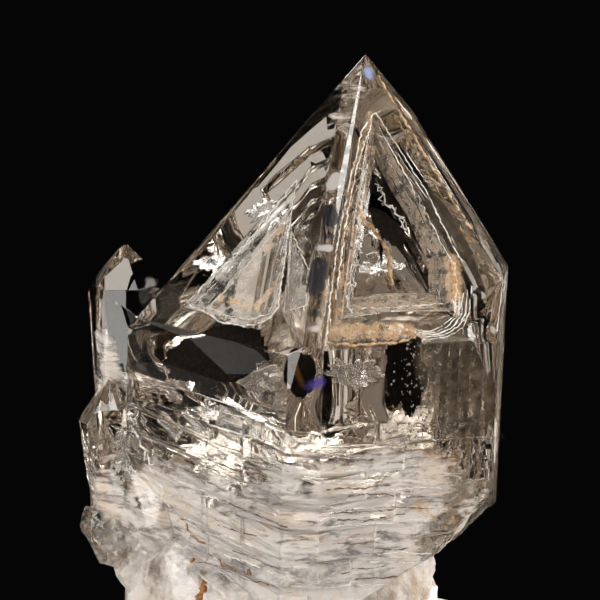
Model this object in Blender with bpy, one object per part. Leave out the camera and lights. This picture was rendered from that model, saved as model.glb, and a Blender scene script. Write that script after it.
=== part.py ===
"""A skeletal quartz cluster: one large clear point with hollowed faces, smaller points that grew with it
on its left and behind it, and a milky foot that is cut off flat underneath.

Metres, +Z up, front towards -Y. The origin is in the middle of the flat underside. Everything grew
together, so the shapes are joined into one solid.

A crystal face is given by its azimuth (degrees about the crystal's axis from the front, positive to the
right), its slope (degrees from level: 90 is a prism face) and its distance from the crystal's centre.
"""

import math
import random
from dataclasses import dataclass

import bmesh
import bpy
from mathutils import Matrix, Vector

RHOMB_SLOPE = 51.8
BEVEL_SLOPE = 47.7
PRISM_SLOPE = 90.0

# The large point: how it stands, and how far each of its faces lies from the origin.
POINT_TILT = 7.03
POINT_LEAN = 1.6
POINT_SPIN = -4.91
POINT_PRISM = {-35: 0.01501, 25: 0.01769, 85: 0.02089, 145: 0.01282, -155: 0.01800, -95: 0.01852}
POINT_RHOMB = {-35: 0.03533, 25: 0.03789, 85: 0.04366, 145: 0.04666, -155: 0.04370, -95: 0.03715}
FRONT_STRIP = -5
FRONT_STRIP_SLOPING = 0.03941
FRONT_STRIP_UPRIGHT = 0.01783
# Facets that round off its lower right end: (azimuth, slope, distance).
POINT_LOWER = ((68, 124, 0.00620), (66, 141, -0.00070), (84, 153, -0.00620))
POINT_BURIED_END = (180, 180, -0.0015)

# Growth plates that lie on the large point: the low ledges round its front edge.
LEDGE_LEVELS = (0.0296, 0.0272, 0.0246, 0.0216, 0.0188, 0.0156, 0.0122)
LEDGE_THICKNESS = (0.0012, 0.0014, 0.0019, 0.0016, 0.0022, 0.0019, 0.0030)
LEDGE_PROUD = (0.0003, 0.0006, 0.0004, 0.0007, 0.0004, 0.0008, 0.0006)
LEDGE_REACH_RIGHT = (0.0098, 0.0125, 0.0090, 0.0118, 0.0100, 0.0078, 0.0036)
LEDGE_REACH_LEFT = (0.0016, 0.0030, 0.0062, 0.0052, 0.0088, 0.0080, 0.0110)
LEDGE_TOP_SLOPE = 14

FOOT_OVERLAP = 0.0030
CUT_DEPTH = 0.060
START_SIZE = 0.30


@dataclass(frozen=True)
class Stance:
    """Where a crystal's centre is and how its axis is turned."""

    centre: Vector
    turn: Matrix

    def normal(self, azimuth, slope):
        a, s = math.radians(azimuth), math.radians(slope)
        lattice = Vector((math.sin(a) * math.sin(s), -math.cos(a) * math.sin(s), math.cos(s)))
        return self.turn @ lattice

    def plane(self, azimuth, slope, distance):
        normal = self.normal(azimuth, slope)
        return self.centre + normal * distance, normal

    def axis(self):
        return self.turn @ Vector((0, 0, 1))


def stance(centre, tilt, lean, spin):
    """tilt leans the axis to the front, lean to the right, spin turns the crystal about its axis."""
    turn = Matrix.Rotation(math.radians(lean), 3, "Y")
    turn = turn @ Matrix.Rotation(math.radians(tilt), 3, "X")
    turn = turn @ Matrix.Rotation(math.radians(spin), 3, "Z")
    return Stance(Vector(centre), turn)


POINT = stance((0, 0, 0), POINT_TILT, POINT_LEAN, POINT_SPIN)


def new_object(name, bm):
    bmesh.ops.recalc_face_normals(bm, faces=bm.faces)
    mesh = bpy.data.meshes.new(name)
    bm.to_mesh(mesh)
    bm.free()
    obj = bpy.data.objects.new(name, mesh)
    bpy.context.scene.collection.objects.link(obj)
    return obj


def cut_crystal(name, planes):
    """A convex crystal: a large block cut by each face's plane in turn."""
    bm = bmesh.new()
    bmesh.ops.create_cube(bm, size=START_SIZE)
    for point, normal in planes:
        everything = bm.verts[:] + bm.edges[:] + bm.faces[:]
        cut = bmesh.ops.bisect_plane(
            bm, geom=everything, plane_co=point, plane_no=normal, clear_outer=True
        )
        rim = [e for e in cut["geom_cut"] if isinstance(e, bmesh.types.BMEdge)]
        if rim:
            bmesh.ops.edgeloop_fill(bm, edges=rim)
    return new_object(name, bm)


def large_point():
    planes = [POINT.plane(azimuth, PRISM_SLOPE, d) for azimuth, d in POINT_PRISM.items()]
    planes += [POINT.plane(azimuth, RHOMB_SLOPE, d) for azimuth, d in POINT_RHOMB.items()]
    planes.append(POINT.plane(FRONT_STRIP, BEVEL_SLOPE, FRONT_STRIP_SLOPING))
    planes.append(POINT.plane(FRONT_STRIP, PRISM_SLOPE, FRONT_STRIP_UPRIGHT))
    planes += [POINT.plane(*facet) for facet in POINT_LOWER]
    planes.append(POINT.plane(*POINT_BURIED_END))
    return cut_crystal("quartz_cluster", planes)


def ledges():
    """Thin growth plates round the front edge, each as proud as its neighbours leave it."""
    sizes = zip(LEDGE_LEVELS, LEDGE_THICKNESS, LEDGE_PROUD, LEDGE_REACH_RIGHT, LEDGE_REACH_LEFT)
    made = []
    for number, (level, thick, proud, right, left) in enumerate(sizes):
        axis = POINT.axis()
        top = POINT.normal(FRONT_STRIP, LEDGE_TOP_SLOPE)
        front = -POINT_PRISM[25] / math.cos(math.radians(30))
        corner = POINT.turn @ Vector((0, front, level))
        planes = [
            POINT.plane(-35, PRISM_SLOPE, POINT_PRISM[-35] + proud),
            POINT.plane(25, PRISM_SLOPE, POINT_PRISM[25] + proud),
            POINT.plane(FRONT_STRIP, PRISM_SLOPE, FRONT_STRIP_UPRIGHT + proud),
            POINT.plane(85, PRISM_SLOPE, right),
            POINT.plane(-95, PRISM_SLOPE, left),
            POINT.plane(175, PRISM_SLOPE, -0.008),
            (corner, top),
            (corner - axis * thick, -axis),
        ]
        made.append(cut_crystal(f"ledge_{number}", planes))
    return made


def small_crystal(name, where, apothem, height, seed, below=0.0):
    """A small point on its own stance: six prism faces, six rhomb faces and, below, a like end."""
    chance = random.Random(seed)
    planes = []
    for azimuth in range(0, 360, 60):
        grown = apothem * chance.uniform(0.90, 1.10)
        planes.append(where.plane(azimuth, PRISM_SLOPE, grown))
        tip = height * math.cos(math.radians(RHOMB_SLOPE)) * chance.uniform(0.94, 1.06)
        planes.append(where.plane(azimuth, RHOMB_SLOPE, tip))
        root = below * math.cos(math.radians(RHOMB_SLOPE)) * chance.uniform(0.94, 1.06)
        if below:
            planes.append(where.plane(azimuth, 180 - RHOMB_SLOPE, root))
    if not below:
        planes.append(where.plane(0, 180, FOOT_OVERLAP))
    return cut_crystal(name, planes)


def block(name, centre, radii, seed, facets=26):
    """A lump of massive quartz: an egg shape cut by many facets, each a little nearer or farther."""
    chance = random.Random(seed)
    centre = Vector(centre)
    planes = []
    for k in range(facets):
        z = 1 - 2 * (k + 0.5) / facets
        turn = k * math.pi * (3 - math.sqrt(5)) + chance.uniform(-0.35, 0.35)
        ring = math.sqrt(1 - z * z)
        way = Vector((ring * math.cos(turn), ring * math.sin(turn), z + chance.uniform(-0.15, 0.15)))
        way.normalize()
        reach = Vector([w * r for w, r in zip(way, radii)])
        planes.append((centre + reach * chance.uniform(0.86, 1.0), way))
    return cut_crystal(name, planes)


def neighbours():
    """The smaller points that grew with the large one."""
    made = [
        small_crystal("left_point", stance((-0.0182, 0.0015, 0.0180), 2, -3, -8), 0.0037, 0.0264, 3),
        small_crystal("left_stub", stance((-0.0192, -0.0030, 0.0150), 0, -8, -10), 0.0031, 0.0160, 5),
        small_crystal("left_nub", stance((-0.0211, -0.0068, 0.0133), 10, -26, 10), 0.0016, 0.0042, 8, 0.0042),
        small_crystal("face_point", stance((-0.0052, -0.0118, 0.0180), 7, 1.6, -40), 0.0046, 0.0160, 11),
    ]
    behind = (
        ((0.0110, 0.0125, 0.0100), -9, 9, 12, 0.0034, 0.0170),
        ((-0.0105, 0.0150, 0.0090), -12, -8, 40, 0.0040, 0.0210),
        ((0.0005, 0.0185, 0.0060), -22, 3, 5, 0.0028, 0.0120),
        ((-0.0172, 0.0095, 0.0090), -8, -16, 20, 0.0030, 0.0150),
    )
    for number, (centre, tilt, lean, spin, apothem, height) in enumerate(behind):
        where = stance(centre, tilt, lean, spin)
        made.append(small_crystal(f"back_point_{number}", where, apothem, height, 20 + number))
    return made


def foot():
    """The milky mass that the points grew from."""
    lumps = (
        ((-0.0045, -0.0040, 0.0050), (0.0140, 0.0145, 0.0105)),
        ((0.0050, -0.0010, 0.0030), (0.0112, 0.0125, 0.0072)),
        ((-0.0153, -0.0025, 0.0150), (0.0044, 0.0072, 0.0120)),
        ((-0.0100, -0.0065, 0.0065), (0.0070, 0.0085, 0.0105)),
        ((0.0010, 0.0085, 0.0070), (0.0140, 0.0095, 0.0115)),
        ((-0.0105, 0.0060, 0.0110), (0.0076, 0.0085, 0.0115)),
        ((0.0065, 0.0050, 0.0100), (0.0080, 0.0085, 0.0110)),
        ((-0.0128, -0.0092, 0.0030), (0.0042, 0.0050, 0.0056)),
        ((0.0112, -0.0080, 0.0010), (0.0050, 0.0055, 0.0044)),
    )
    return [block(f"foot_{i}", centre, radii, 40 + i) for i, (centre, radii) in enumerate(lumps)]


def face_frame(azimuth, slope, distance):
    """A face's nearest point to the centre, its level direction, its uphill direction and its normal."""
    origin, normal = POINT.plane(azimuth, slope, distance)
    axis = POINT.axis()
    uphill = (axis - normal * axis.dot(normal)).normalized()
    return origin, uphill.cross(normal), uphill, normal


def stair(lift, step, levels, wall, tread):
    """The rings of a stepped hollow as (scale, height), from above the face down to its floor.

    A wall shrinks the outline by the factor wall over its step, and a level tread by the factor tread.
    """
    rings = [(1 + (1 - wall) * lift / step, lift)]
    scale = 1.0
    for level in range(1, levels + 1):
        scale *= wall
        rings.append((scale, -step * level))
        if level < levels:
            scale *= tread
            rings.append((scale, -step * level))
    return rings


def stepped_cutter(name, frame, outline, step, levels, wall=0.94, tread=0.93, lift=0.0010):
    """A cutter for a stepped hollow, whose outline is given on the face as (across, uphill)."""
    origin, across, uphill, normal = frame
    middle = Vector([sum(p[i] for p in outline) / len(outline) for i in (0, 1)])
    bm = bmesh.new()
    loops = []
    for scale, height in stair(lift, step, levels, wall, tread):
        loop = []
        for point in outline:
            flat = middle + (Vector(point) - middle) * scale
            loop.append(bm.verts.new(origin + across * flat.x + uphill * flat.y + normal * height))
        loops.append(loop)
    for low, high in zip(loops, loops[1:]):
        for i in range(len(outline)):
            j = (i + 1) % len(outline)
            bm.faces.new((low[i], low[j], high[j], high[i]))
    bm.faces.new(loops[0])
    bm.faces.new(loops[-1])
    return new_object(name, bm)


def chip(name, frame, across, uphill, radius, depth):
    """A shallow shell-shaped break: a ball that dips into a face by the given depth."""
    origin, level, rise, normal = frame
    centre = origin + level * across + rise * uphill + normal * (radius - depth)
    bm = bmesh.new()
    bmesh.ops.create_icosphere(bm, subdivisions=3, radius=radius, matrix=Matrix.Translation(centre))
    return new_object(name, bm)


def hollows():
    """The stepped hollows of skeletal growth, one group for each face of the large point."""
    right = face_frame(25, RHOMB_SLOPE, POINT_RHOMB[25])
    left = face_frame(-35, RHOMB_SLOPE, POINT_RHOMB[-35])
    far_right = face_frame(85, RHOMB_SLOPE, POINT_RHOMB[85])
    far_left = face_frame(-95, RHOMB_SLOPE, POINT_RHOMB[-95])
    back_slope = face_frame(-155, RHOMB_SLOPE, POINT_RHOMB[-155])
    back_left = face_frame(-155, PRISM_SLOPE, POINT_PRISM[-155])
    back = face_frame(145, PRISM_SLOPE, POINT_PRISM[145])
    side = face_frame(85, PRISM_SLOPE, POINT_PRISM[85])
    window = (
        (0.0060, 0.0463), (0.0051, 0.0440), (0.0012, 0.0342), (-0.0026, 0.0229), (0.0030, 0.0233),
        (0.0098, 0.0229), (0.0104, 0.0262), (0.0107, 0.0286), (0.0099, 0.0319), (0.0092, 0.0360),
        (0.0076, 0.0400), (0.0068, 0.0430),
    )
    scallop = (
        (0.0004, 0.0397), (-0.0026, 0.0325), (-0.0058, 0.0235), (-0.0062, 0.0229), (-0.0027, 0.0229),
        (-0.0005, 0.0223), (0.0022, 0.0224), (0.0040, 0.0230), (0.0054, 0.0240), (0.0057, 0.0253),
        (0.0049, 0.0276), (0.0032, 0.0322),
    )
    sliver = ((0.0018, 0.0352), (0.0044, 0.0322), (0.0070, 0.0300), (0.0090, 0.0262), (0.0068, 0.0248))
    sash = ((0.0059, 0.0445), (0.0076, 0.0405), (0.0030, 0.0270), (0.0002, 0.0245), (-0.0012, 0.0245))
    shield = (
        (-0.0055, 0.0460), (-0.0115, 0.0315), (-0.0080, 0.0205), (0.0042, 0.0205), (0.0005, 0.0310),
    )
    chevron = ((-0.0072, 0.0440), (-0.0080, 0.0405), (-0.0036, 0.0282), (-0.0009, 0.0282), (-0.0045, 0.0375))
    pane = (
        (-0.0026, 0.0425), (0.0012, 0.0430), (0.0086, 0.0340), (0.0088, 0.0220), (0.0030, 0.0170),
        (-0.0028, 0.0200),
    )
    gate = (
        (0.0000, 0.0530), (-0.0090, 0.0460), (-0.0135, 0.0395), (-0.0130, 0.0180), (-0.0060, 0.0120),
        (0.0040, 0.0140), (0.0105, 0.0220), (0.0108, 0.0435), (0.0060, 0.0500),
    )
    nick = ((-0.0055, 0.0360), (0.0003, 0.0385), (0.0008, 0.0270), (-0.0020, 0.0230), (-0.0055, 0.0270))
    return [
        stepped_cutter("window_right", right, window, 0.0008, 3, 0.92, 0.94),
        stepped_cutter("scallop_left", left, scallop, 0.0004, 2, 0.93, 0.88),
        stepped_cutter("sliver_left", left, sliver, 0.0005, 1, 0.86),
        stepped_cutter("sash_far_right", far_right, sash, 0.0003, 2, 0.90, 0.84),
        stepped_cutter("shield_far_left", far_left, shield, 0.0006, 4, 0.93, 0.91),
        stepped_cutter("chevron_back", back_slope, chevron, 0.0004, 2, 0.90, 0.86),
        stepped_cutter("pane_back_left", back_left, pane, 0.0006, 3, 0.93, 0.88),
        stepped_cutter("gate_back", back, gate, 0.0007, 5, 0.95, 0.92),
        stepped_cutter("nick_side", side, nick, 0.0003, 2, 0.92, 0.84),
        chip("chip_window", right, 0.0118, 0.0238, 0.0045, 0.0006),
        chip("chip_lip", right, 0.0125, 0.0202, 0.0032, 0.0005),
    ]


def underside():
    """The block that takes everything below the flat cut away."""
    bm = bmesh.new()
    bmesh.ops.create_cube(bm, size=1.0)
    bmesh.ops.scale(bm, vec=(0.2, 0.2, CUT_DEPTH), verts=bm.verts)
    bmesh.ops.translate(bm, vec=(0, 0, -CUT_DEPTH / 2), verts=bm.verts)
    return new_object("underside_cut", bm)


def joined(target, operation, helpers):
    """Adds one exact Boolean of all the helpers, which stay in the scene as hidden wires."""
    group = bpy.data.collections.new(f"{operation.lower()}_helpers")
    bpy.context.scene.collection.children.link(group)
    for helper in helpers:
        bpy.context.scene.collection.objects.unlink(helper)
        group.objects.link(helper)
        helper.hide_render = True
        helper.display_type = "WIRE"
    modifier = target.modifiers.new(operation.lower(), "BOOLEAN")
    modifier.operation = operation
    modifier.operand_type = "COLLECTION"
    modifier.collection = group
    modifier.solver = "EXACT"


def quartz():
    material = bpy.data.materials.new("smoky_milky_quartz")
    material.use_nodes = True
    shader = material.node_tree.nodes["Principled BSDF"]
    shader.inputs["Base Color"].default_value = (0.62, 0.52, 0.42, 1)
    shader.inputs["Roughness"].default_value = 0.12
    shader.inputs["Metallic"].default_value = 0.0
    shader.inputs["IOR"].default_value = 1.54
    return material


def main():
    for obj in list(bpy.data.objects):
        bpy.data.objects.remove(obj)
    cluster = large_point()
    joined(cluster, "UNION", ledges() + neighbours() + foot())
    joined(cluster, "DIFFERENCE", hollows() + [underside()])
    cluster.data.materials.append(quartz())


main()
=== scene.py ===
"""The looks of a skeletal quartz cluster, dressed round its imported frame.

One large clear point with hollowed faces, smaller points grown with it, and the milky foot they share.
Metres, +Z up, front towards -Y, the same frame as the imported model. Sizes named _mm are millimetres.
"""

import logging  # noqa: E402
import math  # noqa: E402
import random  # noqa: E402
from dataclasses import dataclass  # noqa: E402
from enum import Enum  # noqa: E402
from typing import Any, Callable, Optional, Sequence, Union  # noqa: E402

import bpy  # noqa: E402
from mathutils import Matrix, Vector  # noqa: E402


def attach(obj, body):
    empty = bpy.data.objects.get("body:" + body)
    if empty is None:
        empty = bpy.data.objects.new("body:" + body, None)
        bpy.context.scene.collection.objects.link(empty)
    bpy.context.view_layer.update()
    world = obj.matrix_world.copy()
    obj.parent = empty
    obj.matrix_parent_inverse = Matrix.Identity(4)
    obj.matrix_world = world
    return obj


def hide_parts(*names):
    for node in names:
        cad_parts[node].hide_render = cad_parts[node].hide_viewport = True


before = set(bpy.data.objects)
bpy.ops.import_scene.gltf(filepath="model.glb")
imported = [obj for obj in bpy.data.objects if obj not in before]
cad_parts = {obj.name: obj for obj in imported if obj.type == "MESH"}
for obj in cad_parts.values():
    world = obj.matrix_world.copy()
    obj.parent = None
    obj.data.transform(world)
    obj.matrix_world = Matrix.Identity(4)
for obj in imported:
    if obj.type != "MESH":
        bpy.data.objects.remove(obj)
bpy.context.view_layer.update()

LOG = logging.getLogger("quartz")
MM = 0.001
NODE = "quartz_cluster"
BODY = "root"
QUARTZ_IOR = 1.544
RHOMB_SLOPE = 51.8
PRISM_SLOPE = 90.0
FOOT_TOP_MM = 24.0

Colour = tuple[float, float, float, float]
Number = Union["Signal", float]
Piece = bpy.types.Object
Face = bpy.types.MeshPolygon
Material = bpy.types.Material


class Facet(Enum):
    """The large point's faces: azimuth from the front (degrees), slope from level, distance (m)."""

    WINDOW = (25.0, RHOMB_SLOPE, 0.03789)
    SCALLOP = (-35.0, RHOMB_SLOPE, 0.03533)
    FAR_RIGHT_TOP = (85.0, RHOMB_SLOPE, 0.04366)
    FAR_LEFT_TOP = (-95.0, RHOMB_SLOPE, 0.03715)
    BACK_RIGHT_TOP = (145.0, RHOMB_SLOPE, 0.04666)
    BACK_LEFT_TOP = (-155.0, RHOMB_SLOPE, 0.04370)
    FRONT_LEFT = (-35.0, PRISM_SLOPE, 0.01501)
    FRONT_RIGHT = (25.0, PRISM_SLOPE, 0.01769)
    RIGHT = (85.0, PRISM_SLOPE, 0.02089)
    BACK_RIGHT = (145.0, PRISM_SLOPE, 0.01282)
    BACK_LEFT = (-155.0, PRISM_SLOPE, 0.01800)
    LEFT = (-95.0, PRISM_SLOPE, 0.01852)


@dataclass(frozen=True)
class Stance:
    """How the large point stands: its axis leans to the front and right and it is turned about itself."""

    tilt: float = 7.03
    lean: float = 1.6
    spin: float = -4.91

    def turn(self) -> Matrix:
        """The rotation from the crystal's own directions to the frame's."""
        turn = Matrix.Rotation(math.radians(self.lean), 3, "Y")
        turn = turn @ Matrix.Rotation(math.radians(self.tilt), 3, "X")
        return turn @ Matrix.Rotation(math.radians(self.spin), 3, "Z")


POINT = Stance()


@dataclass(frozen=True)
class FaceFrame:
    """Directions on one flat face of the large point."""

    origin: Vector
    across: Vector
    uphill: Vector
    normal: Vector

    @classmethod
    def of(cls, facet: Facet) -> "FaceFrame":
        """Works out the frame of a face.

        Args:
            facet: the face.

        Returns:
            Its nearest point to the origin, its level direction, its uphill direction and its normal.
        """
        azimuth, slope, distance = facet.value
        a, s = math.radians(azimuth), math.radians(slope)
        lattice = Vector((math.sin(a) * math.sin(s), -math.cos(a) * math.sin(s), math.cos(s)))
        turn = POINT.turn()
        normal = turn @ lattice
        axis = turn @ Vector((0, 0, 1))
        uphill = (axis - normal * axis.dot(normal)).normalized()
        return cls(normal * distance, uphill.cross(normal), uphill, normal)

    def at(self, across: float, uphill: float, out: float = 0.0) -> Vector:
        """The point at these distances (m) along the face and out of it."""
        return self.origin + self.across * across + self.uphill * uphill + self.normal * out

    def locate(self, point: Vector) -> tuple[tuple[float, float], float]:
        """Where a point (m) is: its distances across and up the face, and its depth under it (mm)."""
        gap = (point - self.origin) / MM
        return (gap.dot(self.across), gap.dot(self.uphill)), -gap.dot(self.normal)


FACES = {facet: FaceFrame.of(facet) for facet in Facet}


# Shader maths


@dataclass(frozen=True)
class Signal:
    """One number of a node tree. Arithmetic on it adds Math nodes."""

    tree: "Shading"
    socket: bpy.types.NodeSocket

    def _math(self, operation: str, *values: Number) -> "Signal":
        """Adds a Math node of this operation over the given values."""
        return self.tree.add("ShaderNodeMath", {"operation": operation}, *values).out()

    def __add__(self, other: Number) -> "Signal":
        """Sum."""
        return self._math("ADD", self, other)

    __radd__ = __add__

    def __sub__(self, other: Number) -> "Signal":
        """Difference."""
        return self._math("SUBTRACT", self, other)

    def __rsub__(self, other: Number) -> "Signal":
        """Difference, the other way round."""
        return self._math("SUBTRACT", other, self)

    def __mul__(self, other: Number) -> "Signal":
        """Product."""
        return self._math("MULTIPLY", self, other)

    __rmul__ = __mul__

    def least(self, other: Number) -> "Signal":
        """The smaller of two."""
        return self._math("MINIMUM", self, other)

    def most(self, other: Number) -> "Signal":
        """The larger of two."""
        return self._math("MAXIMUM", self, other)

    def past(self, limit: float) -> "Signal":
        """1 above a limit and 0 up to it."""
        return self._math("GREATER_THAN", self, limit)

    def held(self) -> "Signal":
        """Held between 0 and 1."""
        return self.least(1.0).most(0.0)

    def rise(self, low: float, high: float) -> "Signal":
        """A smooth step from 0 at low to 1 at high; low may be the larger."""
        if low > high:
            return 1.0 - self.rise(high, low)
        settings = {"interpolation_type": "SMOOTHSTEP"}
        return self.tree.add("ShaderNodeMapRange", settings, self, low, high, 0.0, 1.0).out()


@dataclass(frozen=True)
class Node:
    """A node that was added to a tree."""

    tree: "Shading"
    node: bpy.types.Node

    def out(self, name: Union[str, int] = 0) -> Signal:
        """One of its outputs."""
        return Signal(self.tree, self.node.outputs[name])


class Shading:
    """A material's node tree, with the object's own coordinates in millimetres."""

    COLOUR_MIX_SOCKETS = (0, 6, 7)
    COLOUR_MIX_RESULT = 2

    def __init__(self, name: str) -> None:
        """Starts an empty material.

        Args:
            name: the material's name.
        """
        self.material = bpy.data.materials.new(name)
        self.material.use_nodes = True
        self.nodes = self.material.node_tree.nodes
        self.nodes.clear()
        self.output = self.add("ShaderNodeOutputMaterial", {})
        place = self.add("ShaderNodeTexCoord", {}).out("Object")
        self.place = self.vector("SCALE", place, Scale=1 / MM).out()
        split = self.add("ShaderNodeSeparateXYZ", {}, self.place)
        self.x, self.y, self.z = (split.out(axis) for axis in "XYZ")

    def add(self, kind: str, settings: dict[str, Any], *inputs: Any, **named: Any) -> Node:
        """Adds any node.

        Args:
            kind: the node's type.
            settings: its own settings, set first.
            inputs: values or signals of its sockets in order.
            named: values or signals of its sockets by name, with _ for a space.

        Returns:
            The node.
        """
        node = self.nodes.new(kind)
        for key, value in settings.items():
            setattr(node, key, value)
        pairs = list(enumerate(inputs)) + [(key.replace("_", " "), v) for key, v in named.items()]
        for key, value in pairs:
            self.feed(node.inputs[key], value)
        return Node(self, node)

    def feed(self, socket: bpy.types.NodeSocket, value: Any) -> None:
        """Links a signal to a socket, or sets the socket to a plain value."""
        if isinstance(value, Signal):
            self.material.node_tree.links.new(value.socket, socket)
        else:
            socket.default_value = value

    def vector(self, operation: str, *inputs: Any, **named: Any) -> Node:
        """Adds a Vector Math node."""
        return self.add("ShaderNodeVectorMath", {"operation": operation}, *inputs, **named)


    def noise(self, scale: float, detail: float = 3.0, rough: float = 0.55, bend: float = 0.0,
              stretch: Sequence[float] = (1, 1, 1), shift: float = 0.0) -> Signal:
        """Cloud noise.

        Args:
            scale: lumps per millimetre.
            detail: octaves.
            rough: how strong the finer octaves are.
            bend: distortion.
            stretch: scale along each axis.
            shift: moves the pattern, so that two don't agree.

        Returns:
            Values around 0.5.
        """
        moved = (shift, shift * 0.7, -shift)
        place = self.add("ShaderNodeMapping", {}, self.place, moved, (0, 0, 0), tuple(stretch)).out()
        made = self.add("ShaderNodeTexNoise", {}, Vector=place, Scale=scale, Detail=detail,
                        Roughness=rough, Distortion=bend)
        return made.out("Fac")

    def flakes(self, bed: Signal, long: float, tall: float) -> tuple[Signal, Signal]:
        """Overlapping flakes that lie along a bedding.

        Args:
            bed: the bedding's own height (mm).
            long: flakes per millimetre along the bed.
            tall: flakes per millimetre up through it.

        Returns:
            The distance to the nearest flake's edge, and a tone for each flake.
        """
        place = self.add("ShaderNodeCombineXYZ", {}, self.x * long, self.y * long, bed * tall).out()
        drift = self.add("ShaderNodeTexNoise", {}, Vector=place, Scale=1.1, Detail=4, Roughness=0.62)
        place = self.vector("MULTIPLY_ADD", drift.out("Color"), (1.5, 1.5, 1.5), place).out()
        edge, cell = (
            self.add("ShaderNodeTexVoronoi", {"feature": feature}, Vector=place, Scale=1.0)
            for feature in ("DISTANCE_TO_EDGE", "F1")
        )
        tone = self.add("ShaderNodeSeparateColor", {}, cell.out("Color")).out("Red")
        return edge.out("Distance"), tone

    def blend(self, factor: Number, low: Any, high: Any) -> Signal:
        """Mixes two colours."""
        mix = self.add("ShaderNodeMix", {"data_type": "RGBA", "blend_type": "MIX"})
        for socket, value in zip(self.COLOUR_MIX_SOCKETS, (factor, low, high)):
            self.feed(mix.node.inputs[socket], value)
        return mix.out(self.COLOUR_MIX_RESULT)

    def relief(self, height: Signal, depth_mm: float) -> Signal:
        """A Bump node for a height of this depth at 1."""
        bump = self.add("ShaderNodeBump", {}, Strength=1.0, Distance=depth_mm * MM, Height=height)
        return bump.out("Normal")

    def shader(self, **values: Any) -> Signal:
        """A Principled surface."""
        return self.add("ShaderNodeBsdfPrincipled", {}, **values).out("BSDF")

    def over(self, factor: Number, under: Signal, top: Signal) -> Signal:
        """A Mix Shader."""
        return self.add("ShaderNodeMixShader", {}, factor, under, top).out()

    def finish(self, surface: Signal, volume: Optional[Signal] = None) -> Material:
        """Links the surface and the volume to the output and gives the material back."""
        links = self.material.node_tree.links
        links.new(surface.socket, self.output.node.inputs["Surface"])
        if volume is not None:
            links.new(volume.socket, self.output.node.inputs["Volume"])
        return self.material


# Finishes


@dataclass(frozen=True)
class Streak:
    """A soft-edged capsule on the object, for a stain or a cloud, from one point to another (mm)."""

    start: tuple[float, float, float]
    end: tuple[float, float, float]
    core: float
    edge: float
    weight: float = 1.0

    def mask(self, s: Shading) -> Signal:
        """1 inside the core radius, 0 past the edge radius."""
        way = Vector(self.end) - Vector(self.start)
        from_start = s.vector("SUBTRACT", s.place, self.start).out()
        share = s.vector("DOT_PRODUCT", from_start, tuple(way / way.length_squared)).out("Value")
        on_line = s.vector("SCALE", tuple(way), Scale=share.held()).out()
        gap = s.vector("DISTANCE", from_start, on_line).out("Value")
        return gap.rise(self.edge, self.core) * self.weight

    def reaches(self, low: float, high: float) -> bool:
        """Says whether it comes between two heights (mm)."""
        heights = (self.start[2], self.end[2])
        return min(heights) - self.edge < high and max(heights) + self.edge > low


def most_of(s: Shading, streaks: Sequence[Streak], low: float, high: float) -> Optional[Signal]:
    """The largest mask of the streaks that reach the heights from low to high (mm), or None."""
    found = None
    for streak in streaks:
        if streak.reaches(low, high):
            mask = streak.mask(s)
            found = mask if found is None else found.most(mask)
    return found


def on_face(facet: Facet, start: tuple[float, float], end: tuple[float, float], core: float, edge: float,
            weight: float = 1.0, depth: float = 0.0) -> Streak:
    """A streak between two places on a crystal face, by distances across and up it, at a depth (mm)."""
    tips = [FACES[facet].at(a * MM, b * MM, -depth * MM) / MM for a, b in (start, end)]
    return Streak(tuple(tips[0]), tuple(tips[1]), core, edge, weight)


# Clay and iron films: round the right hollow, in the left one, along the right side and at the foot.
STAINS = (
    Streak((2.6, -21.6, 37.6), (10.8, -19.2, 37.8), 0.6, 2.3, 1.0),
    Streak((2.3, -22.6, 36.4), (2.9, -19.4, 41.6), 0.1, 1.4, 0.8),
    on_face(Facet.WINDOW, (5.6, 46.0), (1.6, 37.3), 0.1, 1.1, 0.8),
    on_face(Facet.WINDOW, (1.6, 37.3), (-3.2, 21.8), 0.1, 1.2, 0.9),
    Streak((15.6, -13.2, 44.2), (16.0, -15.2, 40.6), 0.5, 2.1, 1.0),
    on_face(Facet.SCALLOP, (0.0, 31.8), (1.2, 35.2), 0.1, 1.4, 1.0, 0.85),
    on_face(Facet.SCALLOP, (-2.9, 25.2), (2.2, 25.1), 0.1, 1.4, 1.0, 0.85),
    on_face(Facet.SCALLOP, (2.2, 25.1), (3.3, 28.6), 0.1, 1.3, 1.0, 0.85),
    Streak((17.4, -11.0, 47.0), (21.2, -12.6, 40.6), 0.4, 1.8, 0.6),
    Streak((20.8, -14.2, 38.5), (21.4, -9.0, 24.0), 0.6, 2.2, 0.8),
    Streak((12.4, -16.8, 19.0), (15.2, -15.2, 17.6), 0.6, 1.9, 0.8),
    Streak((3.0, -16.4, 8.6), (12.5, -14.2, 9.2), 0.6, 2.0, 0.9),
    Streak((13.0, -17.4, 25.0), (17.5, -15.6, 23.0), 0.5, 2.4, 0.7),
    Streak((9.6, -6.0, 55.5), (16.0, -7.0, 48.5), 0.6, 2.2, 0.6),
)
# The white and grey clouds of tiny flaws; the last, in the small left point, is painted light: milky colour
# standing in for bright light seen through that point.
CLOUDS = (
    Streak((-1.0, -23.0, 19.5), (11.0, -18.2, 20.0), 3.4, 7.6, 0.95),
    Streak((-15.0, -8.6, 17.5), (-2.0, -20.2, 16.5), 2.8, 7.4, 0.95),
    Streak((-2.0, -20.5, 12.5), (9.0, -17.0, 13.0), 2.4, 5.6, 0.9),
    Streak((17.0, -13.4, 18.6), (18.6, -12.6, 13.5), 0.9, 2.6, 1.0),
    Streak((-20.8, -0.6, 27.5), (-19.6, -5.0, 15.0), 1.6, 4.6, 0.85),
    Streak((5.5, -4.5, 61.5), (4.2, -6.5, 57.5), 0.6, 2.6, 0.5),
    Streak((-22.3, -1.5, 34.0), (-21.8, -2.5, 30.6), 1.2, 3.2, 0.95),
)
# Where the left hollow's floor is bare.
BARE = on_face(Facet.SCALLOP, (1.6, 31.2), (1.0, 27.8), 0.5, 1.7, 1.0, 0.9)
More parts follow.
